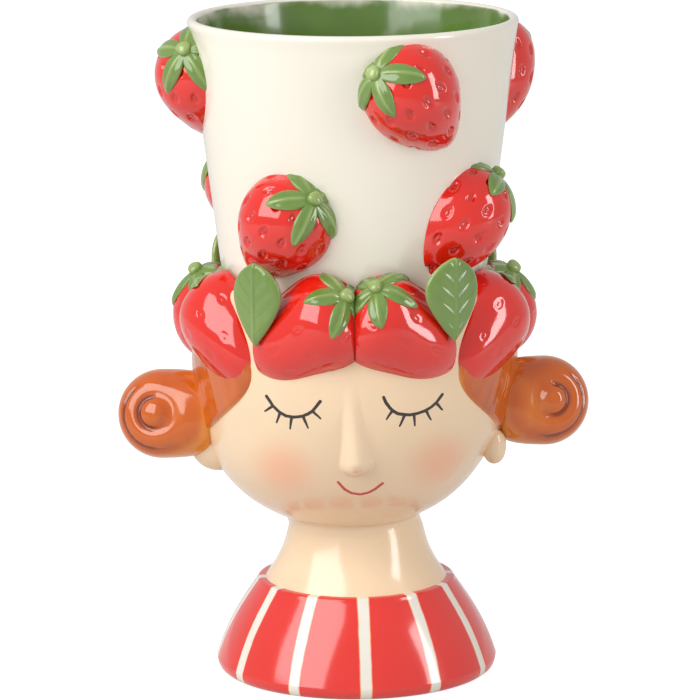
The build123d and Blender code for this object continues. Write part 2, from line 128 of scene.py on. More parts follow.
def feed(tree, sockets, values):
    """Sets sockets to values, or joins other nodes' outputs to them."""
    for socket, value in zip(sockets, values):
        if isinstance(value, bpy.types.NodeSocket):
            tree.links.new(value, socket)
        else:
            socket.default_value = value


def math_node(tree, operation, *values, clamp=False):
    """A Math node fed by numbers or sockets; gives its output socket."""
    node = tree.nodes.new("ShaderNodeMath")
    node.operation, node.use_clamp = operation, clamp
    feed(tree, node.inputs, values)
    return node.outputs[0]


def vector_node(tree, operation, *values, out=0):
    """A Vector Math node fed the same way."""
    node = tree.nodes.new("ShaderNodeVectorMath")
    node.operation = operation
    feed(tree, node.inputs, values)
    return node.outputs[out]


def step_node(tree, value, low, high):
    """Runs smoothly from 0 where the value is low to 1 where it is high."""
    node = tree.nodes.new("ShaderNodeMapRange")
    node.interpolation_type = "SMOOTHSTEP"
    feed(tree, node.inputs, (value, low, high, 0.0, 1.0))
    return node.outputs[0]


def mix_node(tree, share, a, b):
    """Mixes two colours."""
    node = tree.nodes.new("ShaderNodeMix")
    node.data_type = "RGBA"
    feed(tree, (node.inputs[0], node.inputs[6], node.inputs[7]), (share, a, b))
    return node.outputs[2]


def noise_node(tree, vector, scale, detail=3.0, stretch=None):
    """A Noise Texture's value over the surface."""
    if stretch:
        vector = vector_node(tree, "MULTIPLY", vector, stretch)
    node = tree.nodes.new("ShaderNodeTexNoise")
    node.inputs["Scale"].default_value = scale
    node.inputs["Detail"].default_value = detail
    tree.links.new(vector, node.inputs["Vector"])
    return node.outputs["Fac"]


def spread_node(tree, noise, size):
    """Centres a noise on 0 and gives it a size."""
    return math_node(tree, "MULTIPLY", math_node(tree, "SUBTRACT", noise, 0.5), size)


def split_node(tree, vector):
    """The three parts of a vector, and its distance from the upright axis."""
    node = tree.nodes.new("ShaderNodeSeparateXYZ")
    tree.links.new(vector, node.inputs[0])
    x, y, z = node.outputs
    squares = math_node(tree, "ADD", math_node(tree, "POWER", x, 2.0), math_node(tree, "POWER", y, 2.0))
    return x, y, z, math_node(tree, "SQRT", squares)


# Poured and brushed glaze: the colour runs thin on what stands proud and pools in the hollows,
# with cloudy patches, brush streaks down the piece and fine specks in the clay below.
CLOUD_SCALE, STREAK_SCALE, SPECK_SCALE = 28.0, 90.0, 1400.0
STREAK_STRETCH = (1.0, 1.0, 0.16)
FLECK_SHARE = 0.10
GLOSS_SPREAD = 0.10
STREAK_HEIGHT = 0.25
glaze, g_in, g_out = group(
    "Brushed glaze",
    [("Vector", "v", None), ("Relief", "f", 0.0), ("Colour", "c", None), ("Thin", "c", None),
     ("Pooled", "c", None), ("Patches", "f", 0.3), ("Streaks", "f", 0.2), ("Gloss", "f", 0.12)],
    [("Colour", "c"), ("Roughness", "f"), ("Height", "f")])
cloud = noise_node(glaze, g_in.outputs["Vector"], CLOUD_SCALE, 2.0)
streak = noise_node(glaze, g_in.outputs["Vector"], STREAK_SCALE, 3.0, STREAK_STRETCH)
speck = noise_node(glaze, g_in.outputs["Vector"], SPECK_SCALE, 1.0)
patch = spread_node(glaze, cloud, g_in.outputs["Patches"])
brush = spread_node(glaze, streak, g_in.outputs["Streaks"])
loose = math_node(glaze, "MULTIPLY", math_node(glaze, "ADD", patch, brush), 2.0)
level = math_node(glaze, "ADD", loose, g_in.outputs["Relief"])
deep = step_node(glaze, level, 0.0, -1.0)
thin = step_node(glaze, level, 0.0, 1.0)
tint = mix_node(glaze, deep, g_in.outputs["Colour"], g_in.outputs["Pooled"])
tint = mix_node(glaze, thin, tint, g_in.outputs["Thin"])
fleck = math_node(glaze, "MULTIPLY", step_node(glaze, speck, 0.72, 0.8), FLECK_SHARE)
tint = mix_node(glaze, fleck, tint, g_in.outputs["Thin"])
rough = math_node(glaze, "ADD", g_in.outputs["Gloss"], spread_node(glaze, cloud, GLOSS_SPREAD), clamp=True)
wave = math_node(glaze, "ADD", cloud, math_node(glaze, "MULTIPLY", streak, STREAK_HEIGHT))
feed(glaze, g_out.inputs, (tint, rough, wave))


def glazed(name, colour, thin, pooled, patches=0.3, streaks=0.2, gloss=0.12):
    """A glossy glaze; gives the material, its tree, its coordinates, its colour and its shader."""
    material = bpy.data.materials.new(name)
    material.use_nodes = True
    tree = material.node_tree
    shader = tree.nodes["Principled BSDF"]
    where = tree.nodes.new("ShaderNodeTexCoord")
    raised = tree.nodes.new("ShaderNodeAttribute")
    raised.attribute_name = "relief"
    coat = tree.nodes.new("ShaderNodeGroup")
    coat.node_tree = glaze
    feed(tree, coat.inputs, (where.outputs["Object"], raised.outputs["Fac"], colour, thin, pooled,
                             patches, streaks, gloss))
    bump = tree.nodes.new("ShaderNodeBump")
    bump.inputs["Strength"].default_value = 0.35
    bump.inputs["Distance"].default_value = 0.6 * MM
    tree.links.new(coat.outputs["Height"], bump.inputs["Height"])
    tree.links.new(bump.outputs["Normal"], shader.inputs["Normal"])
    tree.links.new(coat.outputs["Colour"], shader.inputs["Base Color"])
    tree.links.new(coat.outputs["Roughness"], shader.inputs["Roughness"])
    shader.inputs["IOR"].default_value = 1.5
    shader.inputs["Coat Weight"].default_value = 0.4
    shader.inputs["Coat Roughness"].default_value = 0.07
    return material, tree, where.outputs["Object"], coat.outputs["Colour"], shader


STRIPE_WOBBLE = 0.9
# the stripes are on the outside alone: past this radius, which the wall's slope draws in
OUTSIDE_SLOPE = 0.45
OUTSIDE_RADIUS = 62.0
stripe_glaze, tree, spot, tint, shader = glazed(
    "stripe_glaze", rgb(226, 48, 40), rgb(238, 84, 60), rgb(182, 20, 24), 0.25, 0.35, 0.14)
x, y, z, radius = split_node(tree, spot)
angle = math_node(tree, "ARCTAN2", x, math_node(tree, "MULTIPLY", y, -1.0))
angle = math_node(tree, "ADD", angle, math.radians(360 - STRIPE_TURN + 180 / STRIPES))
angle = math_node(tree, "MODULO", angle, math.radians(360 / STRIPES))
angle = math_node(tree, "SUBTRACT", angle, math.radians(180 / STRIPES))
off = math_node(tree, "MULTIPLY", math_node(tree, "ABSOLUTE", angle), radius)
off = math_node(tree, "ADD", off, spread_node(tree, noise_node(tree, spot, 120.0), STRIPE_WOBBLE * MM))
outside = math_node(tree, "ADD", radius, math_node(tree, "MULTIPLY", z, OUTSIDE_SLOPE))
outside = step_node(tree, outside, OUTSIDE_RADIUS * MM, (OUTSIDE_RADIUS + 1) * MM)


def stripe_share(start, full):
    """How much of a stripe's colour shows, from where it starts to where it is full past its edge."""
    share = step_node(tree, off, (STRIPE_WIDTH / 2 + start) * MM, (STRIPE_WIDTH / 2 + full) * MM)
    return math_node(tree, "MULTIPLY", share, outside)


edged = mix_node(tree, stripe_share(0.55, 0.1), tint, rgb(246, 150, 96))
milk = mix_node(tree, noise_node(tree, spot, 60.0), rgb(240, 236, 226), rgb(228, 222, 210))
tree.links.new(mix_node(tree, stripe_share(0.05, -0.3), edged, milk), shader.inputs["Base Color"])

side = smooth([(SHOULDER_RADIUS, 5.5), (66.8, 10.5), (59.15, 27.15), (COLLAR_RADIUS, 43.8)], 12)
outline = [(0.02, 1.5), (20, 1.5), (40, 1.5), (57.3, 1.5), (57.8, 1.2), (58.1, 0.5), (58.6, 0.1),
           (59.5, 0.0), (FOOT_RADIUS, 0.0), (66.0, 0.3), (67.3, 1.4), (68.1, 3.1)]
outline += side + [(48.15, 44.2), (47.8, 44.6), (47.2, 44.9), (46.4, COLLAR_HEIGHT), (42, COLLAR_HEIGHT),
                   (NECK_ROOT_RADIUS - WALL, COLLAR_HEIGHT), (NECK_ROOT_RADIUS - WALL, 43.8)]
outline += [(r - WALL, z) for r, z in side[::-4]] + [(61, 9.0), (40, 9.0), (0.02, 9.0)]
shoulders = turn("shoulders_turned", outline)
dress(shoulders, stripe_glaze, "bust", "stripe_glaze", "shoulders")


# Head and neck: one hollow casting with a rounded open rim, a ridge of a nose that is pulled up
# from the face, and a shelf inside for the pot. Pale skin glaze; the closed eyes, lashes and
# mouth are brushed on top, and the cheeks are dabbed with pink.
NECK = [(NECK_ROOT_RADIUS, COLLAR_HEIGHT), (36.47, 58.25), (32.6, 71.5)]
HEAD = [(33.2, 77.0), (48.9, 86.25), (63.2, 101.5), (73.0, 122.5), (77.0, 146.0), (75.0, 188.5)]
RIM_HEIGHT = 195.5
RIM_CREST = 69.6
MOUTH_RADIUS = 65.1
SHELF_LOW, SHELF_HEIGHT = 159.5, 165.0
SHELF_HOLE = 50.0
JAW_SHIFT = 3.1
NOSE_TOP, NOSE_TIP, NOSE_FOOT = 156.0, 118.0, 110.5
NOSE_PROUD = 8.3
BRIDGE_X, NOSE_DRIFT = -1.8, 4.0
BRIDGE_HALF, NOSE_HALF = 3.4, 8.0
FACE_CROWDING = 0.42
head_curve = smooth(HEAD, 24)
HEAD_R, HEAD_Z = np.array(head_curve).T


def head_radius(z):
    """The radius of the head's outside at a height, with the roll of the rim."""
    r = np.interp(z, HEAD_Z, HEAD_R)
    side_r, side_top = HEAD[-1]
    t = np.clip((z - side_top) / (RIM_HEIGHT - side_top), 0, 1)
    return np.where(z > side_top, RIM_CREST + (side_r - RIM_CREST) * np.sqrt(1 - t ** 2), r)


def jaw_shift(z):
    """How far the jaw is pressed to the left at a height."""
    low_part = np.clip((z - 70) / 11, 0, 1)
    high_part = np.clip((135 - z) / 35, 0, 1)
    return JAW_SHIFT * low_part ** 2 * (3 - 2 * low_part) * high_part ** 2 * (3 - 2 * high_part)


def arc(centre, size, start, end, steps=8):
    """Points on a quarter ellipse or more, by its two angles in degrees."""
    a = np.radians(np.linspace(start, end, steps))
    return [(centre[0] + size[0] * math.cos(t), centre[1] + size[1] * math.sin(t)) for t in a]


def places(piece):
    """Where a piece's vertices are, in millimetres."""
    at = np.empty(len(piece.data.vertices) * 3)
    piece.data.vertices.foreach_get("co", at)
    return at.reshape(-1, 3) / MM


def push(piece, at):
    """Moves a piece's vertices to these places, in millimetres."""
    piece.data.vertices.foreach_set("co", (at * MM).ravel())
    piece.data.update()


outline = smooth(NECK, 16)[:-1] + [(32.6, 71.5), (32.55, 74.4), (32.7, 76.0)] + head_curve[:-1]
outline += arc((RIM_CREST, 188.5), (75.0 - RIM_CREST, 7.0), 0, 90, 10)
outline += arc((RIM_CREST, RIM_HEIGHT - 4.5), (RIM_CREST - MOUTH_RADIUS, 4.5), 100, 180, 8)
outline += [(MOUTH_RADIUS, 186), (69.6, 184), (69.6, 170), (69, SHELF_HEIGHT)]
outline += [(SHELF_HOLE + 1, SHELF_HEIGHT), (SHELF_HOLE, SHELF_HEIGHT - 1), (SHELF_HOLE, SHELF_LOW + 1),
            (SHELF_HOLE + 1, SHELF_LOW), (70.6, SHELF_LOW)]
outline += [(r - WALL, z) for r, z in HEAD[4:1:-1]]
outline += [(45.5, 90.5), (27.7, 79.0), (27.1, 71.5), (31.3, 57.0), (38.7, 45.0), NECK[0]]
head = turn("head_cast", outline, 320)
at = places(head)
# the upright lines of vertices are drawn together at the face, where the nose needs them
azimuth, r = np.arctan2(at[:, 0], -at[:, 1]), np.hypot(at[:, 0], at[:, 1])
azimuth -= FACE_CROWDING * np.sin(azimuth)
at[:, 0], at[:, 1] = r * np.sin(azimuth), -r * np.cos(azimuth)
x, z = at[:, 0], at[:, 2]
along = np.clip((NOSE_TOP - z) / (NOSE_TOP - NOSE_TIP), 0, 1)
below = np.clip((NOSE_TIP - z) / (NOSE_TIP - NOSE_FOOT), 0, 1)
middle = BRIDGE_X + NOSE_DRIFT * along ** 2
half = BRIDGE_HALF + (NOSE_HALF - BRIDGE_HALF) * along ** 1.6
half = np.where(z < NOSE_TIP, NOSE_HALF * np.sqrt(1 - below ** 2.6) + 0.01, half)
proud = NOSE_PROUD * (0.10 * along ** 0.5 + 0.90 * along ** 1.7)
proud = np.where(z < NOSE_TIP, NOSE_PROUD * np.sqrt(1 - below ** 2), proud)
across = np.clip(np.abs(x - middle) / half, 0, 1)
on_face = (r > np.interp(z, HEAD_Z, HEAD_R) - 0.5) & (at[:, 1] < 0)
at[:, 1] -= proud * (1 - across ** 2) ** 1.15 * on_face
at[:, 0] -= jaw_shift(z)
push(head, at)

# One brush stroke: how much ink there is near the line from one point to another.
stroke, s_in, s_out = group(
    "Brush stroke",
    [("Vector", "v", None), ("From", "v", None), ("To", "v", None), ("Line", "f", 0.001), ("Taper", "f", 0.0)],
    [("Mask", "f")])
STROKE_BLUR = 0.15
run = vector_node(stroke, "SUBTRACT", s_in.outputs["To"], s_in.outputs["From"])
rise = vector_node(stroke, "SUBTRACT", s_in.outputs["Vector"], s_in.outputs["From"])
share = math_node(stroke, "DIVIDE", vector_node(stroke, "DOT_PRODUCT", rise, run, out=1),
                  vector_node(stroke, "DOT_PRODUCT", run, run, out=1), clamp=True)
foot = stroke.nodes.new("ShaderNodeVectorMath")
foot.operation = "SCALE"
feed(stroke, (foot.inputs[0], foot.inputs["Scale"]), (run, share))
away = vector_node(stroke, "LENGTH", vector_node(stroke, "SUBTRACT", rise, foot.outputs[0]), out=1)
kept = math_node(stroke, "SUBTRACT", 1.0, math_node(stroke, "MULTIPLY", share, s_in.outputs["Taper"]))
ink = math_node(stroke, "SUBTRACT", math_node(stroke, "MULTIPLY", s_in.outputs["Line"], kept), away)
stroke.links.new(math_node(stroke, "DIVIDE", ink, STROKE_BLUR * MM, clamp=True), s_out.inputs["Mask"])


def paint_strokes(tree, flat, marks, line, taper=0.0):
    """One mask for several brush strokes, each from one point of the face to another."""
    whole = None
    for start, end in marks:
        node = tree.nodes.new("ShaderNodeGroup")
        node.node_tree = stroke
        feed(tree, node.inputs, (flat, (start[0] * MM, 0, start[1] * MM), (end[0] * MM, 0, end[1] * MM),
                                 line * MM, taper))
        whole = node.outputs[0] if whole is None else math_node(tree, "MAXIMUM", whole, node.outputs[0])
    return whole


def dab(tree, flat, centre, size):
    """A soft round dab of colour on the face."""
    away = vector_node(tree, "SUBTRACT", flat, (centre[0] * MM, 0, centre[1] * MM))
    return step_node(tree, vector_node(tree, "LENGTH", away, out=1), size * MM, 2 * MM)


LEFT_LID = [(-41.8, 148.4), (-38.7, 144.1), (-35.5, 141.2), (-32.5, 139.8), (-29.2, 139.5), (-24.7, 140.4),
            (-22.3, 141.6), (-19.9, 143.3), (-18.1, 145.6), (-16.3, 148.0)]
RIGHT_LID = [(13.3, 150.0), (14.5, 147.1), (16.0, 144.9), (17.4, 143.3), (19.8, 141.7), (22.6, 141.0),
             (25.5, 140.6), (29.5, 141.0), (33.1, 142.0), (35.8, 143.4), (38.2, 145.3), (40.9, 148.8)]
LASHES = [((-38.7, 144.1), (-42.6, 140.9)), ((-35.4, 141.0), (-37.0, 136.0)),
          ((-30.0, 139.5), (-30.6, 133.6)), ((-24.5, 140.3), (-22.3, 134.7)), ((-19.9, 143.0), (-16.3, 139.6)),
          ((17.3, 143.2), (14.6, 139.2)), ((23.0, 140.6), (20.9, 135.4)), ((27.6, 140.6), (28.0, 135.0)),
          ((33.2, 141.9), (35.6, 137.2)), ((38.1, 145.1), (41.0, 141.3))]
SMILE = [(-8.4, 107.0), (-5.1, 102.8), (-1.9, 100.7), (2.0, 99.9), (5.9, 100.8), (9.1, 102.6), (12.8, 105.7)]
LEFT_CHEEK, RIGHT_CHEEK = (-34, 112), (40, 114)
CHEEK_SIZE = 21
BLUSH_SHARE = 0.48
EYE_LINE, LIP_LINE = 0.85, 0.75
LASH_TAPER = 0.4
BRUSH_DRIFT = 0.6
skin_glaze, tree, spot, tint, shader = glazed(
    "skin_glaze", rgb(243, 214, 178), rgb(250, 232, 206), rgb(228, 186, 144), 0.22, 0.15, 0.2)
drift = tree.nodes.new("ShaderNodeTexNoise")
drift.inputs["Scale"].default_value = 180.0
tree.links.new(spot, drift.inputs["Vector"])
drift_size = vector_node(tree, "SUBTRACT", drift.outputs["Color"], (0.5, 0.5, 0.5))
drift_size = vector_node(tree, "MULTIPLY", drift_size, (BRUSH_DRIFT * MM,) * 3)
flat = vector_node(tree, "MULTIPLY", vector_node(tree, "ADD", spot, drift_size), (1, 0, 1))
front = step_node(tree, split_node(tree, spot)[1], -40 * MM, -45 * MM)
lids = list(zip(LEFT_LID, LEFT_LID[1:])) + list(zip(RIGHT_LID, RIGHT_LID[1:]))
ink = math_node(tree, "MAXIMUM", paint_strokes(tree, flat, lids, EYE_LINE),
                paint_strokes(tree, flat, LASHES, EYE_LINE, LASH_TAPER))
lips = paint_strokes(tree, flat, list(zip(SMILE, SMILE[1:])), LIP_LINE)
blush = math_node(tree, "MAXIMUM", dab(tree, flat, LEFT_CHEEK, CHEEK_SIZE),
                  dab(tree, flat, RIGHT_CHEEK, CHEEK_SIZE))
blush = math_node(tree, "MULTIPLY", blush, BLUSH_SHARE)
for mask, colour in ((blush, rgb(250, 160, 120)), (lips, rgb(200, 58, 44)), (ink, rgb(36, 22, 18))):
    tint = mix_node(tree, math_node(tree, "MULTIPLY", mask, front), tint, colour)
tree.links.new(tint, shader.inputs["Base Color"])
dress(head, skin_glaze, "bust", "skin_glaze", "head")


# Hair: a low layer of clay laid round the head from one side of the face to the other, its front
# edge rounded where it meets the skin. Amber glaze, thin and yellow along the edges and pooled
# brown in the comb marks.
HAIR_THICK = 2.0
HAIR_SUNK = 0.65
HAIR_TOP = 176.0
EDGE_ROLL = 4.5
EAR_LEVEL, NAPE_DROP = 117.0, 31.0
UNDERSIDE = 1.2
FACE_EDGE = ([119.0, 133.5, 155.0, 181.0], [72.0, 63.0, 48.7, 57.7])
FACE_EDGE_CURVE = np.array(smooth(list(zip(*FACE_EDGE)), 10)).T
ACROSS, UP = 420, 90


def hair_front(z):
    """The azimuth of the hair's front edge at a height."""
    half = np.interp(z, FACE_EDGE_CURVE[0], FACE_EDGE_CURVE[1])
    return np.arcsin(np.clip(half / np.interp(z, HEAD_Z, HEAD_R), 0, 0.995))


def hair_low(turned_by):
    """The height of the hair's lower edge: level at the ear, dropping to the nape."""
    t = np.clip(-np.cos(turned_by) * 66 / 52, 0, 1)
    return EAR_LEVEL - NAPE_DROP * (t + 0.605 * t * (1 - t))


def relief(piece, values):
    """Keeps how far each vertex stands proud or lies deep, from -1 to 1, for the glaze to pool by."""
    layer = piece.data.attributes.new("relief", "FLOAT", "POINT")
    layer.data.foreach_set("value", np.clip(values, -1, 1).astype(np.float32))


def face_outwards():
    """Turns the faces of the piece in hand outwards."""
    bpy.ops.object.mode_set(mode="EDIT")
    bpy.ops.mesh.select_all(action="SELECT")
    bpy.ops.mesh.normals_make_consistent(inside=False)
    bpy.ops.object.mode_set(mode="OBJECT")


bpy.ops.object.select_all(action="DESELECT")
bpy.ops.mesh.primitive_grid_add(x_subdivisions=ACROSS, y_subdivisions=UP, size=2)
hair = bpy.context.object
hair.name = hair.data.name = "hair_layer"
u, v = (places(hair) * MM)[:, :2].T
# the height of the lower edge and the turn of the front edge hang on each other
turned_by = math.pi + u * math.radians(110)
for _ in range(12):
    low = hair_low(turned_by)
    z = low + (v + 1) / 2 * (HAIR_TOP - low)
    turned_by = math.pi + u * (math.pi - hair_front(z))
on_head = np.interp(z, HEAD_Z, HEAD_R)
from_side = (1 - np.abs(u)) * (math.pi - hair_front(z)) * on_head
from_low, from_top = z - hair_low(turned_by), HAIR_TOP - z
border = np.minimum(np.minimum(from_side, from_low * 1.2), from_top)
roll = np.sqrt(1 - (1 - np.clip(border / EDGE_ROLL, 0, 1)) ** 2)
sweep = turned_by * 10 + 0.06 * (z - 130) * np.sign(u)
comb = 0.5 * np.sin(sweep * 5.1 + 1.3 * np.sin(z / 9)) + 0.35 * np.sin(sweep * 11.3 + 2)
comb *= np.clip(border / 6, 0, 1)
r = on_head - HAIR_SUNK + (HAIR_THICK + 0.4) * roll + 0.10 * comb
push(hair, np.stack([r * np.sin(turned_by) - jaw_shift(z), -r * np.cos(turned_by), z], 1))
relief(hair, 0.8 * np.exp(-(border / 1.4) ** 2) + 0.14 * comb - 0.05)
face_outwards()
shell = hair.modifiers.new("underside", "SOLIDIFY")
shell.thickness, shell.offset = UNDERSIDE * MM, -1
bpy.ops.object.modifier_apply(modifier="underside")
bpy.ops.object.shade_smooth_by_angle(angle=math.radians(60))
hair_glaze = glazed("hair_glaze", rgb(204, 94, 10), rgb(240, 152, 48), rgb(128, 44, 4), 0.7, 0.35, 0.12)[0]
dress(hair, hair_glaze, "bust", "hair_glaze", "hair")


# Buns: a rope of clay wound into a ball on each side of the head, with a round knob at its middle
# and one groove that runs out from it like a coil. Same amber glaze as the hair.
BUN_RADIUS = 21.7
BUN_DEPTH = 34.0
BUN_FORWARD = 6.0
BUN_OUT, BUN_UP = 15.0, 14.0
BUN_ROOT = 6.0
BUN_FACE = BUN_DEPTH / 2 - 2.45
BUNS = (("left", -1, 127.5, 19.0), ("right", 1, 133.0, 16.2))
# each groove's radius, its growth with each degree of turn, its depth and its width
KNOB_GROOVE, COIL_GROOVE = (7.6, 0.5 / 200, 1.1, 1.1), (15.4, 2.6 / 150, 1.05, 1.0)
# and where it starts and ends, each with the angle that it fades over
KNOB_TURN, COIL_TURN = (-25, 40, 235, 60), (25, 30, 225, 50)


def ball(name, segments, rings):
    """A round piece to shape; gives it and where its vertices are, for a radius of 1."""
    bpy.ops.object.select_all(action="DESELECT")
    bpy.ops.mesh.primitive_uv_sphere_add(segments=segments, ring_count=rings, radius=1)
    piece = bpy.context.object
    piece.name = piece.data.name = name
    return piece, places(piece) * MM


def finish_shape(piece, at, values=0.0):
    """Puts a shaped piece's vertices in place, with its relief and its shading."""
    push(piece, at)
    relief(piece, values * np.ones(len(at)))
    face_outwards()
    bpy.ops.object.shade_smooth_by_angle(angle=math.radians(60))


def fade(phi, start, rise, end, fall):
    """Runs from 0 to 1 after the start angle and back to 0 before the end angle."""
    return np.clip((phi - start) / rise, 0, 1) * np.clip((end - phi) / fall, 0, 1)


def groove(rho, phi, radius, growth, deep, wide):
    """A groove whose radius grows with the turn."""
    return deep * np.exp(-((rho - radius - growth * phi) / wide) ** 2)


profile = np.array(smooth(
    [(0.0, BUN_FACE + 3.2), (3.8, BUN_FACE + 2.7), (6.6, BUN_FACE + 1.0), (8.2, BUN_FACE + 0.2),
     (11.5, BUN_FACE + 0.1), (15.4, BUN_FACE - 1.4), (19.6, 8.6), (BUN_RADIUS, 0.0), (19.9, -7.4),
     (14.0, -13.2), (0.0, -BUN_DEPTH / 2)], 8))
run = np.concatenate([[0], np.cumsum(np.hypot(*np.diff(profile, axis=0).T))])
tangent = np.gradient(profile, axis=0)
for name, side, height, reach in BUNS:
    bun, at = ball(f"bun_{name}_coil", 144, 120)
    length = (np.arccos(np.clip(at[:, 2], -1, 1)) / math.pi) ** 1.15 * run[-1]
    round_by = np.arctan2(at[:, 1], at[:, 0])
    rho, h = np.interp(length, run, profile[:, 0]), np.interp(length, run, profile[:, 1])
    # turned from the top, first outwards, away from the face
    phi = np.mod(round_by, 2 * math.pi)
    phi = np.degrees(np.where(side < 0, phi, 2 * math.pi - phi) % (2 * math.pi))
    cut = groove(rho, phi, *KNOB_GROOVE) * fade(phi, *KNOB_TURN)
    cut += groove(rho, phi - 40, *COIL_GROOVE) * fade(phi, *COIL_TURN)
    cut *= h > 0
    nr, nh = np.interp(length, run, -tangent[:, 1]), np.interp(length, run, tangent[:, 0])
    size = np.hypot(nr, nh) + 1e-9
    rho, h = rho - cut * nr / size, h - cut * nh / size
    facing = Vector((side * math.sin(math.radians(BUN_OUT)), -math.cos(math.radians(BUN_OUT)),
                     math.sin(math.radians(BUN_UP)))).normalized()
    up = (Vector((0, 0, 1)) - facing * facing.z).normalized()
    beside = facing.cross(up)
    centre = np.array((side * (float(head_radius(height)) + reach), -BUN_FORWARD, height))
    at = np.outer(rho * np.cos(round_by), up) + np.outer(rho * np.sin(round_by), beside)
    at += np.outer(h, facing) + centre
    # the half towards the head is drawn out into a thick neck that runs into the hair
    inner = np.clip((centre[0] - at[:, 0]) * side / BUN_RADIUS, 0, 1)
    swell = np.minimum(np.maximum(1 - inner ** 2, 1e-4) ** -0.42, 6)
    at[:, 0] = np.where(inner > 0, centre[0] - side * inner * (reach + BUN_ROOT), at[:, 0])
    at[:, 1:] = centre[1:] + (at[:, 1:] - centre[1:]) * swell[:, None]
    r = np.hypot(at[:, 0], at[:, 1])
    at[:, :2] *= np.maximum(1, (head_radius(at[:, 2]) - 1.0) / np.maximum(r, 1))[:, None]
    finish_shape(bun, at, 0.1 - 0.9 * cut + 0.5 * np.exp(-((rho - 21.2) / 1.5) ** 2))
    dress(bun, hair_glaze, "bust", "hair_glaze", f"bun_{name}")


# Ears: a small pad of clay pressed on at each end of the jaw, mostly under the bun, with a
# dimple on the outside. Skin glaze.
EARS = (("left", -1, (66.0, -10.0, 113.0), (28.0, 22.0, 26.0)),
        ("right", 1, (67.0, -19.0, 113.5), (12.0, 14.0, 18.0)))
EAR_DIMPLE = 0.9
for name, side, centre, size in EARS:
    ear, at = ball(f"ear_{name}_pad", 64, 48)
    narrow = 0.86 + 0.14 * at[:, 2]
    dip = EAR_DIMPLE * np.exp(-((at[:, 1] + 0.5) / 0.35) ** 2 - (at[:, 2] / 0.45) ** 2)
    at = np.stack([side * (centre[0] - dip) + at[:, 0] * size[0] / 2,
                   centre[1] + at[:, 1] * narrow * size[1] / 2, centre[2] + at[:, 2] * size[2] / 2], 1)
    finish_shape(ear, at)
    dress(ear, skin_glaze, "bust", "skin_glaze", f"ear_{name}")


# Pot: a plain tapered wall with a rounded rim and a flat floor. White glaze outside and over the
# rim, green inside.
POT_FOOT, POT_RIM = (60.0, 165.0), (79.3, 320.0)
POT_WALL = 4.7
POT_FLOOR = 5.5
GREEN_DEPTH = (4.1, 4.6)
GREEN_WOBBLE = 1.2
SLOPE = (POT_RIM[0] - POT_FOOT[0]) / (POT_RIM[1] - POT_FOOT[1])


def pot_radius(z):
    """The radius of the pot's outside at a height."""
    return POT_FOOT[0] + SLOPE * (z - POT_FOOT[1])


low, floor_top = POT_FOOT[1], POT_FOOT[1] + POT_FLOOR
lip = POT_WALL / 2
outline = [(0.02, low), (30, low), (58.5, low), (59.3, low + 0.2), (59.8, low + 0.7), (60.15, low + 1.5)]
outline += [(float(pot_radius(z)), z) for z in np.linspace(172, 316, 25)]
outline += arc((POT_RIM[0] - lip, POT_RIM[1] - lip), (lip, lip), 0, 180, 15)
outline += [(float(pot_radius(z)) - POT_WALL, z) for z in np.linspace(312, 176, 18)]
outline += [(55.6, floor_top + 2), (54.5, floor_top + 0.5)]
outline += [(r, floor_top) for r in (52.5, 30, 0.02)]
pot = turn("pot_cast", outline, 224)
pot_glaze, tree, spot, tint, shader = glazed(
    "pot_glaze", rgb(243, 236, 221), rgb(249, 245, 235), rgb(230, 220, 200), 0.3, 0.2, 0.16)
*_, z, radius = split_node(tree, spot)
wall_at = math_node(tree, "MULTIPLY", math_node(tree, "SUBTRACT", z, POT_FOOT[1] * MM), SLOPE)
wall_at = math_node(tree, "ADD", wall_at, POT_FOOT[0] * MM)
depth = math_node(tree, "SUBTRACT", wall_at, radius)
depth = math_node(tree, "ADD", depth, spread_node(tree, noise_node(tree, spot, 40.0), GREEN_WOBBLE * MM))
inside = step_node(tree, depth, GREEN_DEPTH[0] * MM, GREEN_DEPTH[1] * MM)
inside = math_node(tree, "MULTIPLY", inside, step_node(tree, z, (low + 3) * MM, (low + 4) * MM))
green = mix_node(tree, noise_node(tree, spot, 35.0), rgb(74, 104, 34), rgb(104, 138, 54))
tree.links.new(mix_node(tree, inside, tint, green), shader.inputs["Base Color"])
dress(pot, pot_glaze, "pot", "pot_glaze", "pot")


# Strawberries on the pot: pressed in a mould and luted to the wall in two rows with the calyx up,
# each leaning its own way. Bright red glaze over dimples, each with a seed at its middle.
TAPER = 0.25
BERRY_LENGTH, BERRY_WIDTH = 61.0, 47.5
BERRY_SINK = 5.5
BERRY_OUT = 8.0
BERRY_COAT = 0.6
DIMPLE = (2.5, 3.4)
SEED = (0.85, 1.35)
HAND_LUMPS = 0.35
BERRY_CROWDING = 0.45
UNDER_FACE = 1.6
# each strawberry's azimuth, its lean, and how far its stalk bends on past the lean, in degrees
UPPER_HEIGHT, LOWER_HEIGHT = 288.0, 226.0
UPPER_ROW = ((24.0, 38.0, 18.0), (112.0, -22.0, 10.0), (-169.0, -25.0, 10.0), (-88.0, -31.0, 15.0))
LOWER_ROW = ((49.5, -38.0, 0.0), (138.0, 25.0, 10.0), (-131.0, -20.0, 10.0), (-32.0, -37.0, 14.0))
POT_BERRIES = [(UPPER_HEIGHT, *berry) for berry in UPPER_ROW]
POT_BERRIES += [(LOWER_HEIGHT, *berry) for berry in LOWER_ROW]
berry_glaze, *_, shader = glazed(
    "berry_glaze", rgb(226, 30, 14), rgb(248, 82, 42), rgb(164, 6, 8), 0.35, 0.15, 0.10)
shader.inputs["Coat Weight"].default_value = BERRY_COAT


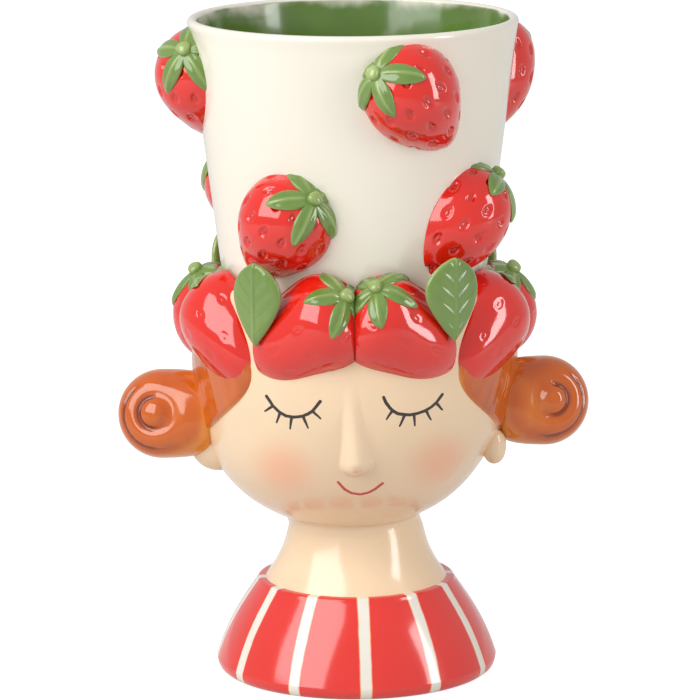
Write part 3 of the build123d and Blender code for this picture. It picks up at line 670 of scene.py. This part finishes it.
def leaning(azimuth, height, radius, lean, slope, outward):
    """Where a strawberry sits on a wall: its centre, and its side, inward and stalk directions."""
    a, s, o = math.radians(azimuth), math.radians(lean), math.radians(outward)
    out, across = Vector((math.sin(a), -math.cos(a), 0)), Vector((math.cos(a), math.sin(a), 0))
    tilt = math.atan(slope)
    normal = out * math.cos(tilt) - Vector((0, 0, 1)) * math.sin(tilt)
    upward = out * math.sin(tilt) + Vector((0, 0, 1)) * math.cos(tilt)
    axis = (upward * math.cos(s) - across * math.sin(s)) * math.cos(o) + normal * math.sin(o)
    side = across * math.cos(s) + upward * math.sin(s)
    return np.array(out * radius + Vector((0, 0, height))), np.array([side, axis.cross(side), axis])


def berry_radius(s, width, full=2.0):
    """A strawberry's radius at a share of its half length from its middle; more is fuller."""
    return width / 2 * np.sqrt(np.clip(1 - np.abs(s) ** full, 0, 1)) * (1 + TAPER * s) / (1 + TAPER ** 2 / 2)


def seed_places(length, width, spacing):
    """Staggered rings of seeds, as a height along the strawberry and a turn round it."""
    found = []
    rows = int(length * 0.9 / spacing)
    for i in range(rows):
        s = -0.86 + 1.62 * i / (rows - 1)
        count = max(3, round(2 * math.pi * float(berry_radius(s, width)) / spacing))
        found += [(s, 2 * math.pi * (k + 0.5 * (i % 2)) / count) for k in range(count)]
    return found


def make_berry(name, length, width, depth, spacing, lumps, full=2.0):
    """A strawberry in its own frame, stalk up, with dimples and seeds; gives its places and relief."""
    berry, at = ball(name, 208, 144)
    # its upright lines of vertices are drawn together on the side that is seen
    front_by = (np.arctan2(at[:, 1], at[:, 0]) + math.pi / 2 + math.pi) % (2 * math.pi) - math.pi
    round_by = front_by - BERRY_CROWDING * np.sin(front_by) - math.pi / 2
    s = at[:, 2]
    rho = berry_radius(s, width, full)
    at = np.stack([rho * np.cos(round_by), rho * np.sin(round_by), s * length / 2], 1)
    sunk, seed = np.zeros(len(at)), np.zeros(len(at))
    for seed_s, seed_turn in seed_places(length, width, spacing):
        a = ((round_by - seed_turn + math.pi) % (2 * math.pi) - math.pi) * np.maximum(rho, 1)
        b = (s - seed_s) * length / 2 / max(0.3, math.sqrt(1 - seed_s ** 2)) * 0.9
        near = (np.abs(a) < 6) & (np.abs(b) < 7)
        a, b = a[near], b[near]
        wide = DIMPLE[0] * (1 - 0.2 * np.clip(b / 3, -1, 1.6))
        bowl = np.clip(1 - (a / wide) ** 2 - (b / DIMPLE[1]) ** 2, 0, 1) ** 1.1
        bead = np.clip(1 - (a / SEED[0]) ** 2 - ((b + 0.2) / SEED[1]) ** 2, 0, 1) ** 0.6
        sunk[near] = np.maximum(sunk[near], bowl)
        seed[near] = np.maximum(seed[near], bead)
    outward = at / np.array([width / 2, width / 2, length / 2]) ** 2
    outward /= np.linalg.norm(outward, axis=1)[:, None]
    hand = np.sin(3 * round_by + 2.1 * s + lumps) * np.sqrt(np.clip(1 - s * s, 0, 1))
    hand += np.sin(5.3 * s + 1.7 * lumps)
    at += outward * (depth * (0.55 * seed - sunk) + HAND_LUMPS * hand - 0.5)[:, None]
    return berry, at, 0.15 * seed - 0.45 * sunk


def keep_out(at, wall_radius):
    """Draws what lies inside a wall back to just under its face."""
    r = np.hypot(at[:, 0], at[:, 1])
    least = wall_radius(at[:, 2]) - UNDER_FACE
    at[:, :2] *= np.maximum(1, least / np.maximum(r, 0.01))[:, None]
    return at


def on_pot(at, centre, axes):
    """Sets what was made in a strawberry's own frame on the pot."""
    return keep_out(at @ axes + centre, pot_radius)


def pot_seat(azimuth, height, lean):
    """The place of a strawberry on the pot."""
    return leaning(azimuth, height, float(pot_radius(height)) - BERRY_SINK, lean, SLOPE, BERRY_OUT)


for number, (height, azimuth, lean, bend) in enumerate(POT_BERRIES, 1):
    berry, at, marks = make_berry(f"pot_strawberry_{number}", BERRY_LENGTH, BERRY_WIDTH, 1.35, 10.2, number)
    finish_shape(berry, on_pot(at, *pot_seat(azimuth, height, lean)), marks)
    dress(berry, berry_glaze, "pot", "berry_glaze", f"pot_berry_{number}")


# Calyxes: a star of five lobes cut from a thin slab and draped over each strawberry's shoulder,
# each lobe with a ridge down its middle, and the stub of the stalk. Green glaze, thin and yellow
# on the ridges and edges.
LOBES = 5
LOBE_ROOT = 6.0
LOBE_THICK = 1.25
RIDGE_PROUD = 0.6
KNOB_RADIUS = 3.6
CALYX_LEAN = math.radians(8.0)
POT_CALYX_REACH = 21.0
leaf_glaze = glazed("leaf_glaze", rgb(112, 142, 66), rgb(172, 192, 118), rgb(66, 96, 38), 0.5, 0.3, 0.16)[0]


def on_berry(rays, length, width, full):
    """How far along each ray from its middle the strawberry's skin is."""
    low, high = np.zeros(len(rays)), np.full(len(rays), length)
    for _ in range(22):
        mid = (low + high) / 2
        p = rays * mid[:, None]
        s = p[:, 2] / (length / 2)
        radius = berry_radius(np.clip(s, -1, 1), width, full)
        inside = (np.abs(s) < 1) & (np.hypot(p[:, 0], p[:, 1]) < radius)
        low, high = np.where(inside, mid, low), np.where(inside, high, mid)
    return low


def make_calyx(name, length, width, reach, pole, full=2.0):
    """A calyx about a pole of a strawberry, and the knob of its stalk, in the strawberry's frame."""
    calyx, at = ball(name, 160, 56)
    round_by = np.arctan2(at[:, 1], at[:, 0])
    t = 1 - np.abs(np.arcsin(np.clip(at[:, 2], -1, 1))) / (math.pi / 2)
    top = at[:, 2] >= -0.001
    share = ((round_by - math.pi / 2) / (2 * math.pi) * LOBES + 0.5) % 1 - 0.5
    uneven = 1 + 1.6 * np.sin(4 * round_by)
    edge = LOBE_ROOT + (reach + uneven - LOBE_ROOT) * (1 - np.abs(2 * share) ** 1.25) ** 1.1
    out = t * edge
    polar = out / (0.5 * (length + width) / 2)
    north = np.array([0, 1.0, 0]) - pole * pole[1]
    north /= np.linalg.norm(north)
    east = np.cross(north, pole)
    beside = np.cos(round_by)[:, None] * east + np.sin(round_by)[:, None] * north
    rays = np.cos(polar)[:, None] * pole + np.sin(polar)[:, None] * beside
    lateral = share * 2 * math.pi / LOBES * np.maximum(out, 0.5)
    ridge = RIDGE_PROUD * np.exp(-(lateral / 0.9) ** 2) * np.clip(out / 6, 0, 1)
    ridge *= np.clip((edge - out) / 3, 0, 1)
    body = LOBE_THICK * np.sqrt(np.clip(1 - t ** 5, 0, 1))
    thick = np.where(top, body + ridge - 0.35, -0.9)
    at = rays * (on_berry(rays, length, width, full) + thick)[:, None]
    pooled = 0.35 * np.clip(1 - np.abs(2 * share) * 1.6, 0, 1) * (ridge < 0.1)
    values = np.where(top, 0.8 * ridge + 0.5 * np.clip((t - 0.86) / 0.14, 0, 1) - pooled, 0)
    knob, rounded = ball(f"{name}_knob", 32, 24)
    k, a = rounded[:, 2], np.arctan2(rounded[:, 1], rounded[:, 0])
    rho = KNOB_RADIUS * np.sqrt(np.clip(1 - k ** 4, 0, 1)) * (1 + 0.06 * np.cos(3 * a))
    stands_at = float(on_berry(pole[None, :], length, width, full)[0]) + 1.0 + 3.4 * k
    knob_at = np.outer(rho * np.cos(a), east) + np.outer(rho * np.sin(a), north) + np.outer(stands_at, pole)
    relief(knob, 0.3 + 0.3 * k)
    return calyx, knob, at, knob_at, values


def join_calyx(calyx, knob, at, knob_at, values):
    """Joins a calyx and its knob, both in place."""
    push(knob, knob_at)
    push(calyx, at)
    relief(calyx, values)
    bpy.ops.object.select_all(action="DESELECT")
    knob.select_set(True)
    calyx.select_set(True)
    bpy.context.view_layer.objects.active = calyx
    bpy.ops.object.join()
    face_outwards()
    bpy.ops.object.shade_smooth_by_angle(angle=math.radians(60))


for number, (height, azimuth, lean, bend) in enumerate(POT_BERRIES, 1):
    bent = -math.copysign(math.tan(math.radians(bend)), lean)
    pole = np.array([bent, -math.sin(CALYX_LEAN), math.cos(CALYX_LEAN)])
    calyx, knob, at, knob_at, values = make_calyx(
        f"pot_star_{number}", BERRY_LENGTH, BERRY_WIDTH, POT_CALYX_REACH, pole / np.linalg.norm(pole))
    seat = pot_seat(azimuth, height, lean)
    join_calyx(calyx, knob, on_pot(at, *seat), on_pot(knob_at, *seat), values)
    dress(calyx, leaf_glaze, "pot", "leaf_glaze", f"pot_calyx_{number}")


# Wreath: strawberries set round the head under its rim in pairs, tip to tip and calyx to calyx,
# cut to meet each other. Smoother than the pot's, with only a few shallow dimples.
CROWN_LENGTH, CROWN_WIDTH, CROWN_SINK = 64.0, 47.0, 12.5
CROWN_FULL = 3.0
# from the front to the back: azimuth, depth below the rim and lean, for each side alike
CROWN_BERRIES = ((20.5, 18.5, 60.0), (59.0, 23.5, -52.0), (110.0, 24.5, 77.0), (154.5, 21.0, -65.0))
CROWN_JOINTS = (0.0, 36.0, 85.0, 132.5, 180.0)
# how far each calyx sits towards its stalk, up and outwards
CROWN_STALKS = ((0.54, 0.77, 0.35), (0.75, 0.66, 0.05), (0.54, 0.77, 0.35), (0.54, 0.77, 0.35))
LEFT_FRONT, LEFT_FRONT_STALK = 5, (0.85, 0.77, 0.35)
CROWN_CALYX_REACH = 18.0
JOINT_GAP = 0.08


def crown_seat(z):
    """The face of the head that the wreath sits on, with its rim."""
    return np.where(z > HEAD[-1][1], np.maximum(head_radius(z), RIM_CREST), head_radius(z))


def meet(at, start, end):
    """Draws what passes a joint's plane back to it."""
    for azimuth, sign in ((min(start, end), 1), (max(start, end), -1)):
        a = math.radians(azimuth)
        normal = np.array([math.cos(a), math.sin(a), 0]) * sign
        past = at @ normal
        radial = at @ np.array([math.sin(a), -math.cos(a), 0])
        at -= np.where((past < JOINT_GAP) & (radial > 0), past - JOINT_GAP, 0)[:, None] * normal
    return at


def in_wreath(at, centre, axes, joints):
    """Sets what was made in a strawberry's own frame on the head, between its joints."""
    return keep_out(meet(at @ axes + centre, *joints), crown_seat)


number = 0
for side in (1, -1):
    for i, (azimuth, drop, lean) in enumerate(CROWN_BERRIES):
        number += 1
        centre, axes = leaning(side * azimuth, RIM_HEIGHT - drop, 77.0 - CROWN_SINK, side * lean, 0, 0)
        seat = centre, axes, (side * CROWN_JOINTS[i], side * CROWN_JOINTS[i + 1])
        berry, at, marks = make_berry(f"wreath_strawberry_{number}", CROWN_LENGTH, CROWN_WIDTH, 0.35, 13.0,
                                      2.0 * number, CROWN_FULL)
        finish_shape(berry, in_wreath(at, *seat), marks * 0.35)
        dress(berry, berry_glaze, "bust", "berry_glaze", f"crown_berry_{number}")
        toward, upward, outward = LEFT_FRONT_STALK if number == LEFT_FRONT else CROWN_STALKS[i]
        toward *= -side * math.copysign(1, lean)
        a = math.radians(side * azimuth)
        pole = np.array([toward * math.cos(a) + outward * math.sin(a),
                         toward * math.sin(a) - outward * math.cos(a), upward])
        calyx, knob, at, knob_at, values = make_calyx(
            f"wreath_star_{number}", CROWN_LENGTH, CROWN_WIDTH, CROWN_CALYX_REACH,
            axes @ pole / np.linalg.norm(pole), CROWN_FULL)
        join_calyx(calyx, knob, in_wreath(at, *seat), in_wreath(knob_at, *seat), values)
        dress(calyx, leaf_glaze, "bust", "leaf_glaze", f"crown_calyx_{number}")


# Leaves of the wreath: four thick pointed leaves, one stood up over each pair of tips, with a
# raised midrib and side veins. Same green glaze as the calyxes.
LEAF_UPPER, LEAF_LOWER = 17.0, 23.0
LEAF_STAND = 88.0
LEAF_CURL = 1.2
RIB_PROUD, VEIN_PROUD = 0.7, 0.22
VEIN_SPACING = 7.5
# each leaf's azimuth, the height of its top, and its width
LEAVES = ((33.0, 215.5, 30.0), (-33.0, 213.5, 27.0), (132.5, 210.0, 26.0), (-132.5, 210.0, 26.0))
for number, (azimuth, leaf_top, leaf_width) in enumerate(LEAVES, 1):
    leaf, at = ball(f"wreath_leaf_{number}", 144, 72)
    t = 1 - np.abs(np.arcsin(np.clip(at[:, 2], -1, 1))) / (math.pi / 2)
    a = np.arctan2(at[:, 1], at[:, 0])
    top = at[:, 2] >= -0.001
    v = t * np.sin(a)
    u = t * np.cos(a) / np.maximum(np.sqrt(np.clip(1 - v ** 2, 0, 1)), 1e-3)
    up_part, low_part = np.clip(v, 0, 1), np.clip(-v, 0, 1)
    shape = np.where(v > 0, np.clip(1 - up_part ** 2.4, 0, 1) ** 0.8, np.clip(1 - low_part ** 1.5, 0, 1))
    x = np.clip(u, -1, 1) * leaf_width / 2 * shape
    z = leaf_top - LEAF_UPPER + np.where(v > 0, v * LEAF_UPPER, v * LEAF_LOWER)
    rib = RIB_PROUD * np.exp(-(x / 0.9) ** 2) * np.clip((z - 172) / 8, 0, 1)
    slant = (z - 0.9 * np.abs(x)) / VEIN_SPACING
    vein = VEIN_PROUD * np.exp(-(((slant + 0.5) % 1 - 0.5) / 0.13) ** 2) * np.clip(1 - np.abs(u) ** 4, 0, 1)
    raised = np.maximum(rib, vein)
    edge = np.sqrt(np.clip(1 - t ** 8, 0, 1))
    r = LEAF_STAND - 2.6 + np.where(top, 1.8 * edge + raised, -2.6 * edge)
    r -= LEAF_CURL * (x / (leaf_width / 2)) ** 2
    turned_by = math.radians(azimuth) + x / 86.0
    at = np.stack([r * np.sin(turned_by), -r * np.cos(turned_by), z], 1)
    finish_shape(leaf, at, np.where(top, raised * 0.15 + 0.5 * np.clip((t - 0.9) * 10, 0, 1), 0))
    dress(leaf, leaf_glaze, "bust", "leaf_glaze", f"crown_leaf_{number}")


# Studio: a pale table that runs out of sight, a big soft light high on the left, a window-like
# strip on the right, and the camera where the photograph was taken from.
TABLE_LOW = -0.0002
TABLE_SEEN, TABLE_MIRRORED = 0.82, 0.35
ROOM_LIGHT = 0.38
ROOM_MIRRORED = 0.45
bpy.ops.object.select_all(action="DESELECT")
bpy.ops.mesh.primitive_plane_add(size=12, location=(0, 0, TABLE_LOW))
floor = bpy.context.object
floor.name = "table_top"
bpy.ops.object.transform_apply(location=True)
floor_paint = bpy.data.materials.new("table_paint")
floor_paint.use_nodes = True
tree = floor_paint.node_tree
shader = tree.nodes["Principled BSDF"]
shader.inputs["Base Color"].default_value = (0.6, 0.59, 0.57, 1)
shader.inputs["Roughness"].default_value = 0.8
shader.inputs["Emission Color"].default_value = (1, 1, 1, 1)
path = tree.nodes.new("ShaderNodeLightPath")
glow = math_node(tree, "ADD", math_node(tree, "MULTIPLY", path.outputs["Is Camera Ray"], TABLE_SEEN),
                 math_node(tree, "MULTIPLY", path.outputs["Is Glossy Ray"], TABLE_MIRRORED))
tree.links.new(glow, shader.inputs["Emission Strength"])
floor.data.materials.append(floor_paint)

world = bpy.context.scene.world or bpy.data.worlds.new("studio")
bpy.context.scene.world = world
world.use_nodes = True
tree = world.node_tree
tree.nodes.clear()
plain, seen = tree.nodes.new("ShaderNodeBackground"), tree.nodes.new("ShaderNodeBackground")
feed(tree, plain.inputs, ((1, 1, 1, 1), ROOM_LIGHT))
feed(tree, seen.inputs, ((1, 1, 1, 1), 1.0))
path = tree.nodes.new("ShaderNodeLightPath")
rays = math_node(tree, "MAXIMUM", path.outputs["Is Camera Ray"], path.outputs["Is Transmission Ray"])
mirrored = math_node(tree, "MULTIPLY", path.outputs["Is Glossy Ray"], ROOM_MIRRORED)
rays = math_node(tree, "MAXIMUM", rays, mirrored)
pick = tree.nodes.new("ShaderNodeMixShader")
feed(tree, pick.inputs, (rays, plain.outputs[0], seen.outputs[0]))
tree.links.new(pick.outputs[0], tree.nodes.new("ShaderNodeOutputWorld").inputs[0])


def lamp(name, place, aim, size, power):
    """A rectangular lamp that faces a point."""
    data = bpy.data.lights.new(name, "AREA")
    data.shape = "RECTANGLE"
    data.size, data.size_y = size
    data.energy = power
    lamp_object = bpy.data.objects.new(name, data)
    bpy.context.scene.collection.objects.link(lamp_object)
    lamp_object.location = place
    lamp_object.rotation_euler = (Vector(aim) - Vector(place)).to_track_quat("-Z", "Y").to_euler()


lamp("softbox_left", (-1.3, -1.1, 1.3), (0, 0, 0.16), (1.7, 1.7), 40)
lamp("window_right", (1.3, -0.6, 0.6), (0, 0, 0.18), (0.3, 1.0), 7)

CAMERA_PLACE = (-0.0023, -2.018, 0.5695)
CAMERA_PITCH, CAMERA_ROLL = 11.55, -0.35
SENSOR = 36
FOCAL_SHARE = 4245 / 700
camera_data = bpy.data.cameras.new("photo_camera")
camera_data.sensor_width = SENSOR
camera_data.lens = FOCAL_SHARE * SENSOR
camera_data.clip_end = 50
camera = bpy.data.objects.new("photo_camera", camera_data)
bpy.context.scene.collection.objects.link(camera)
camera.location = CAMERA_PLACE
camera.rotation_euler = (math.radians(90 - CAMERA_PITCH), 0, 0)
camera.rotation_euler.rotate_axis("Z", math.radians(CAMERA_ROLL))
bpy.context.scene.camera = camera
bpy.context.scene.view_settings.view_transform = "Standard"
